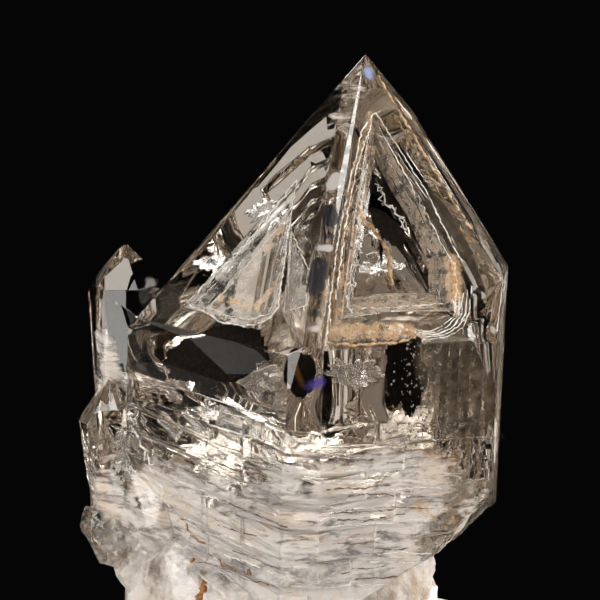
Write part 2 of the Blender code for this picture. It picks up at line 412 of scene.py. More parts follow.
# Smoky patches: brown haze under the right front face.
HAZES = (
    Streak((15.2, -18.0, 35.0), (17.2, -16.4, 29.0), 2.4, 4.4, 1.0),
    Streak((14.0, -10.0, 50.0), (18.5, -12.0, 43.0), 0.8, 2.8, 0.6),
)
# Painted light: the colours that light splits into by the front edge and at the tip, and the strip's dark and
# pale blocks, which are painted reflections.
PAINTED_GLINTS = (
    ((0.42, 0.16, 0.02, 1), (Streak((-0.7, -22.9, 34.4), (0.1, -22.9, 32.6), 0.2, 0.9, 1.0),)),
    ((0.07, 0.05, 0.26, 1), (Streak((-0.2, -22.9, 31.9), (2.0, -22.6, 33.0), 0.15, 0.8, 0.9),)),
    ((0.42, 0.55, 0.95, 1), (Streak((7.3, -3.7, 63.6), (7.4, -4.0, 63.2), 0.1, 0.8, 0.6),)),
    ((0.012, 0.012, 0.016, 1), (
        Streak((2.9, -14.0, 49.8), (3.1, -14.5, 48.8), 0.8, 1.1),
        Streak((2.4, -15.7, 47.3), (3.2, -15.8, 47.2), 0.4, 0.65),
        Streak((1.9, -17.6, 44.5), (1.5, -19.1, 42.2), 0.85, 1.15),
        Streak((1.0, -20.8, 40.0), (1.8, -20.8, 39.9), 0.4, 0.65),
    )),
    ((0.52, 0.49, 0.46, 1), (
        Streak((1.7, -16.5, 46.2), (2.9, -16.6, 46.1), 0.5, 0.75),
        Streak((3.3, -12.1, 52.2), (3.8, -11.6, 52.8), 0.6, 0.9),
        Streak((0.8, -21.9, 38.6), (1.6, -21.9, 38.5), 0.4, 0.75),
    )),
)


@dataclass(frozen=True)
class Maps:
    """What all bands share: three sizes of noise, and where the hollows are filmed and frosted."""

    cloud: Signal
    fine: Signal
    grain: Signal
    filmed: Signal
    frosted: Signal


@dataclass(frozen=True)
class ClearQuartz:
    """Clear, faintly smoky quartz that turns milky at its foot and is stained by iron in places."""

    milk: Colour = (0.82, 0.76, 0.71, 1)
    milk_warm: Colour = (0.74, 0.63, 0.53, 1)
    milk_grey: Colour = (0.44, 0.40, 0.39, 1)
    crack: Colour = (0.20, 0.14, 0.10, 1)
    haze: Colour = (0.17, 0.13, 0.09, 1)
    haze_dark: Colour = (0.06, 0.045, 0.03, 1)
    frost: Colour = (0.70, 0.66, 0.60, 1)
    clay: Colour = (0.74, 0.52, 0.32, 1)
    clay_pale: Colour = (0.74, 0.64, 0.52, 1)
    rust: Colour = (0.40, 0.20, 0.07, 1)
    smoke: Colour = (0.88, 0.76, 0.60, 1)
    smoke_density: float = 22.0
    bands_mm: tuple[float, ...] = (0.0, 13.0, 28.0, 41.0, 70.0)
    bed_fall: float = 0.38
    ledge_mm: float = 0.16
    grit_mm: float = 0.05

    def milky(self, s: Shading, maps: Maps, foot: Optional[Signal]) -> Signal:
        """The milky surface: warm and grey patches along the beds, with dark hairline cracks."""
        bed = s.z + (s.x + 2.0).least(0.0) * self.bed_fall
        edge, tone = s.flakes(bed, 0.06, 0.70)
        small_tone = s.flakes(bed, 0.25, 1.9)[1]
        plates = tone * 0.65 + small_tone * 0.35
        cracks = edge.rise(0.03, 0.0) * (maps.fine * 1.2 + maps.cloud * 0.8).rise(0.90, 1.15)
        clear_of_foot = 1.0 if foot is None else 1.0 - foot * 0.8
        colour = s.blend(maps.cloud.rise(0.46, 0.64) * 0.8, self.milk, self.milk_warm)
        colour = s.blend(plates.rise(0.52, 0.20) * clear_of_foot * 0.68, colour, self.milk_grey)
        colour = s.blend(cracks * clear_of_foot * 0.5, colour, self.crack)
        ledges = s.noise(0.9, 3, 0.62, 0.4, (0.5, 0.5, 2.0), 3.0)
        skin = s.relief(ledges, self.ledge_mm)
        return s.shader(Base_Color=colour, Roughness=0.30, Subsurface_Weight=0.5,
                        Subsurface_Radius=(0.0022, 0.0017, 0.0013), Subsurface_Scale=1.0, Normal=skin)

    def band(self, s: Shading, maps: Maps, low: float, high: float) -> Signal:
        """The surface of the heights from low to high (mm), with only the streaks that reach them."""
        surface = s.shader(Base_Color=(1, 1, 1, 1), Roughness=0.0, IOR=QUARTZ_IOR, Transmission_Weight=1.0)
        haze = most_of(s, HAZES, low, high)
        if haze is not None:
            tone = s.blend(maps.cloud.rise(0.40, 0.60), self.haze, self.haze_dark)
            smoky = s.shader(Base_Color=tone, Roughness=0.3)
            surface = s.over((haze * (maps.cloud * 1.2 + maps.fine * 2.2 - 1.05)).held(), surface, smoky)
        # Painted glints and painted reflections, mixed onto the glass.
        for tint, streaks in PAINTED_GLINTS:
            glint = most_of(s, streaks, low, high)
            if glint is not None:
                painted_glint_shader = s.shader(Base_Color=tint, Roughness=0.5, Specular_IOR_Level=0.1)
                surface = s.over((glint * (maps.fine + 0.55)).held() * 0.9, surface, painted_glint_shader)
        # Milky clouds, and one patch of painted light in the small left point.
        milk = most_of(s, CLOUDS, low, high)
        foot = None
        if milk is not None:
            here = milk.rise(0.0, 0.15)
            wisps = s.noise(0.55, 4, 0.68, 0.7, (0.45, 0.45, 1.7), 17.0)
            milk = milk + (maps.cloud - 0.5) * 1.3 + (wisps - 0.5) * 2.6 + (maps.fine - 0.5) * 0.8
            milk = milk.rise(0.30, 1.00) * here
        if low < FOOT_TOP_MM:
            foot = (s.z + (maps.cloud - 0.5) * 16.0 + (maps.fine - 0.5) * 9.0).rise(16.0, 8.0)
            milk = foot if milk is None else foot.most(milk)
        if milk is not None:
            surface = s.over(milk * 0.88, surface, self.milky(s, maps, foot))
        if high > FOOT_TOP_MM:
            frost = maps.frosted * (maps.fine * 1.4 + maps.grain * 0.4).rise(0.66, 1.08)
            if BARE.reaches(low, high):
                frost = frost * (1.0 - BARE.mask(s) * 0.9)
            grit = s.relief(s.noise(2.5, 2, 0.7, shift=6.0), self.grit_mm)
            frosty = s.shader(Base_Color=self.frost, Roughness=0.35, Normal=grit)
            surface = s.over(frost * 0.75, surface, frosty)
        return s.over(self.stained(s, maps, foot, low, high) * 0.85, surface, self.clay_film(s, maps))

    def stained(self, s: Shading, maps: Maps, foot: Optional[Signal], low: float, high: float) -> Signal:
        """How much clay and rust cover a band of heights."""
        films = maps.filmed * (maps.fine * 1.1 + maps.grain * 0.5).rise(0.62, 1.05) * 0.8
        patches = most_of(s, STAINS, low, high)
        if patches is not None:
            ragged = (maps.fine - 0.5) * 2.2 + (maps.grain - 0.5) * 0.9 + (maps.cloud - 0.5) * 1.2
            films = films.most((patches * 1.2 - 0.70 + ragged).rise(0.0, 0.85) * patches.rise(0.0, 0.3))
        if foot is not None:
            films = films.most(foot * s.noise(0.35, 5, 0.7, 0.8, shift=21.0).rise(0.60, 0.72) * 0.55)
        return films

    def clay_film(self, s: Shading, maps: Maps) -> Signal:
        """Clay and iron rust in one film: pale, orange and brown patches."""
        stain = s.blend((maps.grain * 0.4 + maps.fine * 0.6).rise(0.46, 0.62), self.clay, self.rust)
        stain = s.blend(s.noise(1.7, 3, 0.6, shift=15.0).rise(0.52, 0.66) * 0.8, stain, self.clay_pale)
        grit = s.relief(s.noise(2.5, 2, 0.7, shift=2.0), self.grit_mm)
        return s.shader(Base_Color=stain, Roughness=0.55, Normal=grit)

    def material(self) -> Material:
        """Builds the material, band by band, because a band works out its own streaks alone."""
        s = Shading("clear_quartz")
        coat = s.add("ShaderNodeAttribute", {"attribute_name": "coat"}).out("Color")
        split = s.add("ShaderNodeSeparateColor", {}, coat)
        maps = Maps(
            s.noise(0.20, 3, 0.6), s.noise(0.9, 4, 0.65, shift=4.0), s.noise(5.0, 2, 0.6, shift=9.0),
            split.out("Red"), split.out("Green"),
        )
        surface = self.band(s, maps, *self.bands_mm[:2])
        for low, high in zip(self.bands_mm[1:], self.bands_mm[2:]):
            surface = s.over(s.z.past(low), surface, self.band(s, maps, low, high))
        volume = s.add("ShaderNodeVolumeAbsorption", {}, self.smoke, self.smoke_density).out()
        return s.finish(surface, volume)


@dataclass(frozen=True)
class CrackAir:
    """Thin air in a healed crack: mirror-bright at a glance, with a whitish bloom in patches."""

    name: str = "crack_air"
    share: float = 0.10
    ripple_mm: float = 0.12
    bloom: Colour = (0.86, 0.83, 0.80, 1)

    def material(self) -> Material:
        """Builds the material."""
        s = Shading(self.name)
        bloom = s.noise(0.7, 5, 0.7, 1.0, shift=5.0).rise(0.50, 0.68) * self.share
        ripple = s.relief(s.noise(1.6, 4, 0.6, 1.5), self.ripple_mm)
        air = s.shader(Base_Color=(1, 1, 1, 1), Roughness=0.03, IOR=1 / QUARTZ_IOR,
                       Transmission_Weight=1.0, Normal=ripple)
        white = s.shader(Base_Color=self.bloom, Roughness=0.5)
        return s.finish(s.over(bloom, air, white))


@dataclass(frozen=True)
class Milk:
    """The cloudy core above the foot."""

    pale: Colour = (0.62, 0.57, 0.53, 1)
    warm: Colour = (0.48, 0.38, 0.29, 1)
    lump_mm: float = 0.5

    def material(self) -> Material:
        """Builds the material."""
        s = Shading("milky_heart")
        cloud = s.noise(0.35, 5, 0.65, 0.4, shift=13.0)
        colour = s.blend(cloud.rise(0.42, 0.62), self.pale, self.warm)
        bump = s.relief(s.noise(1.4, 5, 0.7), self.lump_mm)
        return s.finish(s.shader(
            Base_Color=colour, Roughness=0.5, Subsurface_Weight=0.3,
            Subsurface_Radius=(0.002, 0.0016, 0.0012), Subsurface_Scale=1.0, Normal=bump,
        ))


@dataclass(frozen=True)
class Film:
    """A thin broken film of two colours: on a rim, in a fissure or in a vein, as a painted highlight along a
    ledge, or on a dark sheet of painted shade.
    """

    name: str
    one: Colour
    other: Colour
    roughness: float
    hole: float
    whole: float
    gloss: float = 0.5

    def material(self) -> Material:
        """Builds the material."""
        s = Shading(self.name)
        colour = s.blend(s.noise(2.2, 5, 0.7, 0.5).rise(0.42, 0.60), self.one, self.other)
        cover = s.noise(1.1, 4, 0.7, 0.6, shift=8.0).rise(self.hole, self.whole)
        return s.finish(s.shader(Base_Color=colour, Roughness=self.roughness, Alpha=cover,
                                 Specular_IOR_Level=self.gloss))


# Frost on the hollows' rims, and painted highlights along the ledges of the plates.
RIM_FROST_AND_HIGHLIGHT_FILM = Film("rim_frost_and_painted_highlight", (0.93, 0.90, 0.86, 1), (0.72, 0.66, 0.58, 1), 0.25, 0.34, 0.50)
FISSURE_FILM = Film("fissure_film", (0.20, 0.14, 0.10, 1), (0.10, 0.06, 0.04, 1), 0.6, 0.36, 0.52)
CLAY_FILM = Film("clay_film", (0.74, 0.56, 0.38, 1), (0.50, 0.25, 0.09, 1), 0.55, 0.34, 0.46)
RUST_FILM = Film("rust_film", (0.42, 0.18, 0.05, 1), (0.16, 0.06, 0.02, 1), 0.7, 0.38, 0.50)
# Near-black film for the dark sheets of painted shade.
PAINTED_SHADE_FILM = Film("painted_shade_film", (0.010, 0.008, 0.007, 1), (0.024, 0.017, 0.012, 1), 0.5, 0.10, 0.30, 0.05)


@dataclass(frozen=True)
class Bubble:
    """The bright skin of a tiny bubble."""

    bright: Colour = (0.95, 0.93, 0.90, 1)
    dull: Colour = (0.6, 0.57, 0.52, 1)

    def material(self) -> Material:
        """Builds the material."""
        s = Shading("bubble")
        tone = s.blend(s.noise(3.0, 2), self.bright, self.dull)
        return s.finish(s.shader(Base_Color=tone, Roughness=0.25))


@dataclass(frozen=True)
class PaleFloor:
    """The plain pale floor that the cluster stands on."""

    colour: Colour = (0.62, 0.60, 0.57, 1)

    def material(self) -> Material:
        """Builds the material."""
        s = Shading("pale_floor")
        return s.finish(s.shader(Base_Color=self.colour, Roughness=0.7))


# Modelling by hand tools


class Bench:
    """The modelling steps that the pieces share."""

    WELD_M = 2e-6
    FLAT_DEGREES = 0.4

    @staticmethod
    def only(obj: Piece) -> None:
        """Leaves edit mode, deselects all and makes one object active."""
        if bpy.context.mode != "OBJECT":
            bpy.ops.object.mode_set(mode="OBJECT")
        bpy.ops.object.select_all(action="DESELECT")
        obj.select_set(True)
        bpy.context.view_layer.objects.active = obj

    @classmethod
    def copy_of(cls, node: str, name: str) -> Piece:
        """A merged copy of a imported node's mesh, with its flat faces whole again.

        Args:
            node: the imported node.
            name: the new piece's name.

        Returns:
            The copy, at the origin.
        """
        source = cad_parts[node]
        mesh = source.data.copy()
        mesh.name = name
        mesh.materials.clear()
        obj = bpy.data.objects.new(name, mesh)
        bpy.context.scene.collection.objects.link(obj)
        cls.only(obj)
        bpy.ops.object.mode_set(mode="EDIT")
        bpy.ops.mesh.select_all(action="SELECT")
        bpy.ops.mesh.remove_doubles(threshold=cls.WELD_M)
        bpy.ops.mesh.dissolve_limited(angle_limit=math.radians(cls.FLAT_DEGREES))
        bpy.ops.object.mode_set(mode="OBJECT")
        return obj

    @classmethod
    def pick(cls, obj: Piece, test: Callable[[Face], bool]) -> int:
        """Selects, in edit mode, just the faces that pass a test.

        Args:
            obj: the piece.
            test: says of a face whether it is wanted.

        Returns:
            How many faces it selected.
        """
        cls.only(obj)
        mesh = obj.data
        bpy.ops.object.mode_set(mode="EDIT")
        bpy.ops.mesh.select_mode(type="FACE")
        bpy.ops.mesh.select_all(action="DESELECT")
        bpy.ops.object.mode_set(mode="OBJECT")
        found = 0
        for face in mesh.polygons:
            face.select = test(face)
            found += face.select
        bpy.ops.object.mode_set(mode="EDIT")
        return found

    @classmethod
    def settle(cls, obj: Piece) -> None:
        """Puts a piece's place, turn and size into its mesh."""
        cls.only(obj)
        bpy.ops.object.transform_apply(location=True, rotation=True, scale=True)

    @classmethod
    def apply_all(cls, obj: Piece) -> None:
        """Applies a piece's modifiers in order."""
        cls.only(obj)
        for modifier in list(obj.modifiers):
            bpy.ops.object.modifier_apply(modifier=modifier.name)

    @staticmethod
    def ruffle(obj: Piece, size_mm: float, height_mm: float, group: str = "",
               depth: int = 3) -> None:
        """Adds a displacement by a cloud pattern, over a vertex group if one is named."""
        texture = bpy.data.textures.new(f"{obj.name}_{size_mm}", "CLOUDS")
        texture.noise_scale = size_mm * MM
        texture.noise_depth = depth
        texture.noise_basis = "ORIGINAL_PERLIN"
        modifier = obj.modifiers.new(f"ruffle_{size_mm}", "DISPLACE")
        modifier.texture = texture
        modifier.texture_coords = "LOCAL"
        modifier.strength = height_mm * MM
        modifier.mid_level = 0.5
        modifier.vertex_group = group

    @classmethod
    def together(cls, pieces: Sequence[Piece], name: str) -> Piece:
        """Joins meshes into one named piece."""
        cls.only(pieces[0])
        for piece in pieces:
            piece.select_set(True)
        bpy.ops.object.join()
        joined = bpy.context.object
        joined.name = joined.data.name = name
        return joined

    @classmethod
    def mounted(cls, obj: Piece, material: Material, smooth: bool = True) -> None:
        """Gives a finished piece its shading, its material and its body."""
        if smooth:
            cls.only(obj)
            bpy.ops.object.shade_smooth()
        obj.data.materials.clear()
        obj.data.materials.append(material)
        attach(obj, BODY)
        LOG.info("%s: %d faces", obj.name, len(obj.data.polygons))


@dataclass
class QuartzBody:
    """The joined crystals and their foot, with growth steps, plates and the foot's broken relief."""

    name: str = "quartz_body"
    terraces: tuple[tuple[Facet, float, tuple[tuple[float, float], ...]], ...] = (
        (Facet.WINDOW, 2.4, ((0.35, 0.10), (0.45, 0.12), (0.5, 0.10))),
        (Facet.SCALLOP, 0.8, ((0.25, 0.08), (0.3, 0.07))),
        (Facet.FAR_LEFT_TOP, 2.4, ((0.5, 0.12), (0.6, 0.15))),
        (Facet.BACK_RIGHT, 3.5, ((0.8, 0.15), (0.9, 0.2), (1.0, 0.15))),
        (Facet.BACK_LEFT, 1.8, ((0.6, 0.10), (0.7, 0.15))),
    )
    tread: float = 0.8
    ridges_mm: tuple[tuple[float, float], ...] = ((0.07, 0.05), (0.07, -0.04))
    ridge_least_mm2: float = 0.4
    plate_heights_mm: tuple[float, ...] = (34.0, 31.2, 28.6, 27.1, 25.2, 23.9, 22.4, 20.9, 18.7, 16.4, 13.9)
    plate_fall: float = 0.07
    plate_sinks_mm: tuple[float, ...] = (0.14, -0.10, 0.18)
    plate_share: float = 0.4
    plate_step_mm: float = 0.05
    plates_top_mm: float = 28.5
    ruffles: tuple[tuple[float, float, str, int], ...] = (
        (3.0, 1.0, "foot", 2), (0.9, 0.26, "foot", 3), (2.6, 0.45, "plates", 1), (0.9, 0.16, "plates", 2),
    )
    foot_mm2: float = 0.16
    plate_mm2: float = 0.10
    flush: float = 0.999
    nearly_flush: float = 0.995
    underside: float = -0.98
    plane_slack_mm: float = 0.05
    crystal_slack_mm: float = 0.9
    plate_slack_mm: float = 1.2
    sunk_slack_mm: float = 1.4
    skin_mm: float = 0.02
    edge_mm: float = 0.06
    edge_least_mm: float = 3.0
    edges_from_mm: float = 20.0
    blunt: float = 0.9
    crease_degrees: float = 22.0

    def on(self, face: Face, plane: FaceFrame, depth_mm: float, slack_mm: float) -> bool:
        """Says whether a face lies in a crystal face's plane, or at a depth below it."""
        if face.normal.dot(plane.normal) < self.flush:
            return False
        off = (Vector(face.center) - plane.origin).dot(plane.normal) + depth_mm * MM
        return abs(off) < slack_mm * MM

    def terrace(self, obj: Piece, facet: Facet, depth_mm: float,
                steps: Sequence[tuple[float, float]]) -> None:
        """Steps the floor of a hollow further down, ring by ring.

        Args:
            obj: the piece.
            facet: the crystal face that the hollow is in.
            depth_mm: the floor's depth below that face.
            steps: each ring's width and drop (mm).
        """
        if not Bench.pick(obj, lambda f: self.on(f, FACES[facet], depth_mm, self.plane_slack_mm)):
            LOG.info("no floor on %s", facet.name)
            return
        for width, drop in steps:
            bpy.ops.mesh.inset(thickness=width * MM, depth=-drop * MM, use_even_offset=True)
            bpy.ops.mesh.inset(thickness=width * self.tread * MM, depth=0, use_even_offset=True)

    def plates(self, obj: Piece) -> None:
        """Cuts the two front prism faces into growth plates that fall a little to the right, and raises
        or sinks some of the plates whole."""
        chance = random.Random(4)
        axis = POINT.turn() @ Vector((0, 0, 1))
        for facet in (Facet.FRONT_RIGHT, Facet.FRONT_LEFT):
            plane = FACES[facet]
            cuts = []
            for height in self.plate_heights_mm:
                bed = (axis + plane.across * (self.plate_fall + chance.uniform(-0.06, 0.06))).normalized()
                level = axis * (height + chance.uniform(-0.5, 0.5)) * MM
                cuts.append((level, bed))
                Bench.pick(obj, lambda f: self.on(f, plane, 0, self.plate_slack_mm))
                bpy.ops.mesh.bisect(plane_co=level, plane_no=bed)
            for sink in self.plate_sinks_mm:
                chosen = {band for band in range(len(cuts) + 1) if chance.random() < self.plate_share}

                def wanted(face: Face) -> bool:
                    if not self.on(face, plane, 0, self.sunk_slack_mm):
                        return False
                    band = sum((Vector(face.center) - level).dot(bed) > 0 for level, bed in cuts)
                    return face.center.z <= self.plates_top_mm * MM and band in chosen

                if Bench.pick(obj, wanted):
                    width = self.plate_step_mm * MM
                    bpy.ops.mesh.inset(thickness=width, depth=-sink * MM, use_even_offset=False)

    def foot_group(self, obj: Piece) -> None:
        """Refines the foot's faces and marks their inner points for the relief."""
        def is_foot(face: Face) -> bool:
            if face.center.z > FOOT_TOP_MM * MM or face.normal.z < self.underside:
                return False
            return not any(
                face.normal.dot(p.normal) > self.nearly_flush
                and abs((Vector(face.center) - p.origin).dot(p.normal)) < self.crystal_slack_mm * MM
                for p in FACES.values()
            )

        self.refine(obj, "foot", is_foot, self.foot_mm2)

    def plate_group(self, obj: Piece) -> None:
        """Refines the plates of the two front prism faces, so that their steps can be uneven."""
        def is_plate(face: Face) -> bool:
            return face.center.z < self.plates_top_mm * MM and any(
                self.on(face, FACES[facet], 0, self.plate_slack_mm)
                for facet in (Facet.FRONT_LEFT, Facet.FRONT_RIGHT)
            )

        self.refine(obj, "plates", is_plate, self.plate_mm2)

    def refine(self, obj: Piece, name: str, test: Callable[[Face], bool],
               most_mm2: float) -> None:
        """Cuts faces into small triangles and names the points that are theirs alone as a vertex group.

        Args:
            obj: the piece.
            name: the vertex group's name.
            test: says of a face whether it is refined.
            most_mm2: the area that no refined face is left above.
        """
        def is_large(face: Face) -> bool:
            return face.area > most_mm2 * MM * MM and test(face)

        while Bench.pick(obj, is_large):
            bpy.ops.mesh.quads_convert_to_tris()
            bpy.ops.mesh.subdivide(number_cuts=1)
        Bench.pick(obj, test)
        bpy.ops.object.mode_set(mode="OBJECT")
        mesh = obj.data
        inner = {v for face in mesh.polygons if face.select for v in face.vertices}
        rim = {v for face in mesh.polygons if not face.select for v in face.vertices}
        group = obj.vertex_groups.new(name=name)
        group.add(list(inner - rim), 1.0, "REPLACE")
        LOG.info("%s: %d free points, %d faces in all", name, len(inner - rim), len(mesh.polygons))

    def soften_edges(self, obj: Piece) -> None:
        """Gives the long edges between crystal faces the fine worn edge that catches the light."""
        Bench.only(obj)
        bpy.ops.object.mode_set(mode="EDIT")
        bpy.ops.mesh.select_mode(type="EDGE")
        bpy.ops.mesh.select_all(action="DESELECT")
        bpy.ops.object.mode_set(mode="OBJECT")
        mesh = obj.data
        sides: dict[int, list[Face]] = {}
        for face in mesh.polygons:
            for corner in face.loop_indices:
                sides.setdefault(mesh.loops[corner].edge_index, []).append(face)
        for edge in mesh.edges:
            ends = [mesh.vertices[v].co for v in edge.vertices]
            two = sides[edge.index]
            if (ends[0] - ends[1]).length < self.edge_least_mm * MM or len(two) != 2:
                continue
            low = min(e.z for e in ends) < self.edges_from_mm * MM
            if low or two[0].normal.dot(two[1].normal) > self.blunt:
                continue
            edge.select = all(
                any(self.on(face, p, 0, self.plane_slack_mm) for p in FACES.values()) for face in two
            )
        bpy.ops.object.mode_set(mode="EDIT")
        bpy.ops.mesh.bevel(offset=self.edge_mm * MM, segments=1, affect="EDGES", clamp_overlap=True)

    def hollow_ridges(self, obj: Piece) -> None:
        """Gives the walls and treads of the hollows a raised growth line each."""
        def lines_hollow(face: Face) -> bool:
            for lining in LININGS:
                depth = lining.depth_of(face)
                steep = face.normal.dot(FACES[lining.facet].normal) < lining.level
                large = face.area > self.ridge_least_mm2 * MM * MM
                if 0.0 < depth < lining.floor_mm and steep and large:
                    return True
            return False

        for width, height in self.ridges_mm:
            if Bench.pick(obj, lines_hollow):
                bpy.ops.mesh.inset(thickness=width * MM, depth=height * MM, use_individual=True)

    def coat(self, obj: Piece) -> None:
        """Marks which faces line a hollow: red where clay films them, green where they are frosted."""
        marks = obj.data.color_attributes.new("coat", "FLOAT_COLOR", "CORNER")
        marks.data.foreach_set("color", (0.0, 0.0, 0.0, 1.0) * len(obj.data.loops))
        for face in obj.data.polygons:
            centre = Vector(face.center)
            if centre.z < FOOT_TOP_MM * MM:
                continue
            if any(abs((centre - p.origin).dot(p.normal)) < self.skin_mm * MM for p in FACES.values()):
                continue
            for lining in LININGS:
                depth = lining.depth_of(face)
                if not depth:
                    continue
                floor = depth > lining.floor_mm
                film = lining.floor_film if floor else lining.wall_film
                frost = lining.floor_frost if floor else lining.wall_frost
                for corner in face.loop_indices:
                    marks.data[corner].color = (film, frost, 0, 1)

    def build(self) -> Piece:
        """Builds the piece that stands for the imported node."""
        obj = Bench.copy_of(NODE, self.name)
        for facet, depth, steps in self.terraces:
            self.terrace(obj, facet, depth, steps)
        self.soften_edges(obj)
        self.hollow_ridges(obj)
        self.plates(obj)
        self.foot_group(obj)
        self.plate_group(obj)
        for size, height, group, octaves in self.ruffles:
            Bench.ruffle(obj, size, height, group, octaves)
        Bench.apply_all(obj)
        self.coat(obj)
        Bench.only(obj)
        bpy.ops.object.shade_smooth_by_angle(angle=math.radians(self.crease_degrees))
        Bench.mounted(obj, ClearQuartz().material(), smooth=False)
        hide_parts(NODE)
        return obj


@dataclass(frozen=True)
class Lining:
    """How a hollow is coated: on which face, how deep its floor starts, and where it lies on the face."""

    facet: Facet
    floor_mm: float
    low_mm: tuple[float, float]
    high_mm: tuple[float, float]
    wall_film: float = 0.0
    floor_film: float = 0.0
    wall_frost: float = 0.0
    floor_frost: float = 0.0
    least_mm: float = 0.03
    deepest_mm: float = 4.6
    upright: float = 0.05
    level: float = 0.98

    def depth_of(self, face: Face) -> float:
        """How deep in the hollow a face lies (mm), or 0 where it isn't in it or looks away."""
        hollow = FACES[self.facet]
        place, depth = hollow.locate(Vector(face.center))
        inside = all(low < at < high for low, at, high in zip(self.low_mm, place, self.high_mm))
        inside = inside and self.least_mm < depth < self.deepest_mm
        return depth if inside and face.normal.dot(hollow.normal) > self.upright else 0.0


LININGS = (
    Lining(Facet.WINDOW, 2.35, (-3.0, 22.5), (11.0, 47.0), 0.75, 0.0, 0.45, 0.0),
    Lining(Facet.SCALLOP, 0.75, (-6.5, 21.8), (6.0, 40.5), 0.15, 0.10, 0.85, 0.75),
    Lining(Facet.SCALLOP, 0.45, (1.5, 24.0), (9.5, 36.0), 0.0, 0.0, 0.5, 0.45),
    Lining(Facet.FAR_LEFT_TOP, 2.35, (-12.0, 20.0), (4.6, 47.0), 0.2, 0.0, 0.0, 0.0),
    Lining(Facet.FAR_RIGHT_TOP, 0.55, (-2.0, 24.0), (8.0, 45.0), 0.35, 0.0, 0.1, 0.0),
    Lining(Facet.BACK_LEFT_TOP, 0.75, (-8.5, 28.0), (0.5, 45.0), 0.2, 0.0, 0.0, 0.0),
    Lining(Facet.BACK_RIGHT, 3.4, (-14.0, 11.0), (11.5, 54.0), 0.2, 0.0, 0.0, 0.0),
    Lining(Facet.BACK_LEFT, 1.7, (-3.5, 16.0), (9.5, 44.0), 0.2, 0.0, 0.0, 0.0),
    Lining(Facet.RIGHT, 0.55, (-6.0, 22.5), (1.5, 39.0), 0.3, 0.1, 0.1, 0.0),
)


@dataclass(frozen=True)
class Trace:
    """A thin line on a crystal face or under it, by distances across and up that face (mm)."""

    facet: Facet
    points: tuple[tuple[float, float], ...]
    radius_mm: float = 0.06
    depth_mm: float = 0.0
    shake_mm: float = 0.06


RIMS = (
    Trace(Facet.SCALLOP, ((0.4, 39.7), (-2.7, 31.0), (-5.8, 23.5), (-2.7, 23.0), (-0.5, 22.3),
                          (2.2, 22.5), (4.0, 23.0), (5.4, 24.0), (5.8, 25.3), (5.0, 27.2),
                          (3.3, 31.7), (1.0, 37.3), (0.4, 39.7)), 0.085),
    Trace(Facet.SCALLOP, ((1.0, 36.7), (-1.0, 30.6), (-3.5, 24.0), (-0.8, 23.4), (2.2, 23.6),
                          (4.2, 24.7), (4.0, 27.0), (2.3, 31.5), (1.0, 36.7)), 0.05, 0.0, 0.10),
    Trace(Facet.SCALLOP, ((2.0, 34.5), (5.0, 32.0), (7.2, 30.0), (9.1, 25.7)), 0.06),
    Trace(Facet.WINDOW, ((6.3, 46.3), (4.4, 44.2), (1.8, 38.4), (-1.0, 31.6), (-3.2, 25.0),
                         (-4.7, 20.2)), 0.07),
    Trace(Facet.WINDOW, ((5.7, 45.2), (3.2, 40.7), (0.8, 35.0), (-1.5, 28.3), (-2.6, 25.0)), 0.06),
    Trace(Facet.WINDOW, ((6.3, 46.3), (8.1, 41.7), (9.9, 36.9), (11.1, 32.1), (12.1, 28.4)), 0.07),
    Trace(Facet.WINDOW, ((6.4, 44.2), (7.7, 40.0), (9.1, 35.8), (10.2, 31.0), (11.0, 28.5)), 0.06),
    Trace(Facet.WINDOW, ((-1.2, 24.1), (0.4, 24.2), (4.2, 24.1), (9.8, 24.2)), 0.06),
    *(Trace(Facet.WINDOW, ((12.6 - 0.5 * k, 25.6 - 0.3 * k), (11.9 - 0.5 * k, 22.9 - 0.1 * k),
                           (10.4 - 0.5 * k, 21.0 + 0.1 * k), (8.4 - 0.4 * k, 20.1 + 0.2 * k),
                           (6.4 - 0.3 * k, 20.0 + 0.3 * k)), 0.05 + 0.012 * (k % 3), 0.0, 0.04)
      for k in range(5)),
    Trace(Facet.WINDOW, ((4.3, 40.7), (3.1, 38.4), (3.0, 36.0), (2.1, 33.8), (1.3, 30.9),
                         (-0.4, 27.1), (-1.1, 23.8)), 0.10, 0.0, 0.26),
    Trace(Facet.WINDOW, ((4.4, 39.6), (3.4, 37.4), (3.3, 35.0), (2.6, 32.8), (1.6, 29.9)), 0.08, 0.0, 0.40),
    Trace(Facet.WINDOW, ((3.9, 41.2), (3.0, 36.8), (2.2, 33.0), (0.8, 28.6), (-0.7, 24.6)), 0.07, 0.0, 0.40),
    Trace(Facet.WINDOW, ((5.8, 39.2), (6.4, 38.2), (5.9, 36.8), (6.9, 36.3), (7.6, 35.2),
                         (7.7, 33.3)), 0.09, 0.0, 0.20),
    Trace(Facet.WINDOW, ((5.6, 38.9), (6.2, 37.6), (6.1, 36.5), (7.1, 35.9), (7.4, 34.4)), 0.06, 0.0, 0.26),
    Trace(Facet.FRONT_LEFT, ((-12.5, 27.3), (-11.3, 25.3), (-9.8, 23.1), (-8.7, 21.5),
                             (-7.7, 19.4), (-6.2, 17.5)), 0.13, 0.0, 0.25),
)
CLAY_LINES = (
    Trace(Facet.WINDOW, ((2.0, 35.7), (3.4, 34.6), (4.7, 33.4), (5.3, 31.5), (5.2, 29.0),
                         (4.9, 27.3)), 0.26, 0.0, 0.12),
    Trace(Facet.WINDOW, ((11.0, 28.5), (10.9, 26.4), (10.4, 24.2)), 0.32, 0.1, 0.1),
    Trace(Facet.WINDOW, ((7.6, 50.8), (9.8, 44.1), (11.9, 38.0), (14.0, 32.2)), 0.16, 0.1, 0.08),
    Trace(Facet.WINDOW, ((8.4, 46.0), (10.3, 40.3), (12.2, 34.5), (13.4, 30.6)), 0.11, 0.1, 0.08),
    Trace(Facet.WINDOW, ((5.2, 45.2), (2.4, 39.4), (0.0, 33.6), (-2.2, 27.2), (-3.4, 23.0)), 0.20, 0.25, 0.1),
    Trace(Facet.WINDOW, ((-4.9, 20.4), (-1.3, 19.9), (2.5, 19.9), (5.5, 20.4)), 0.16, 0.1, 0.1),
)


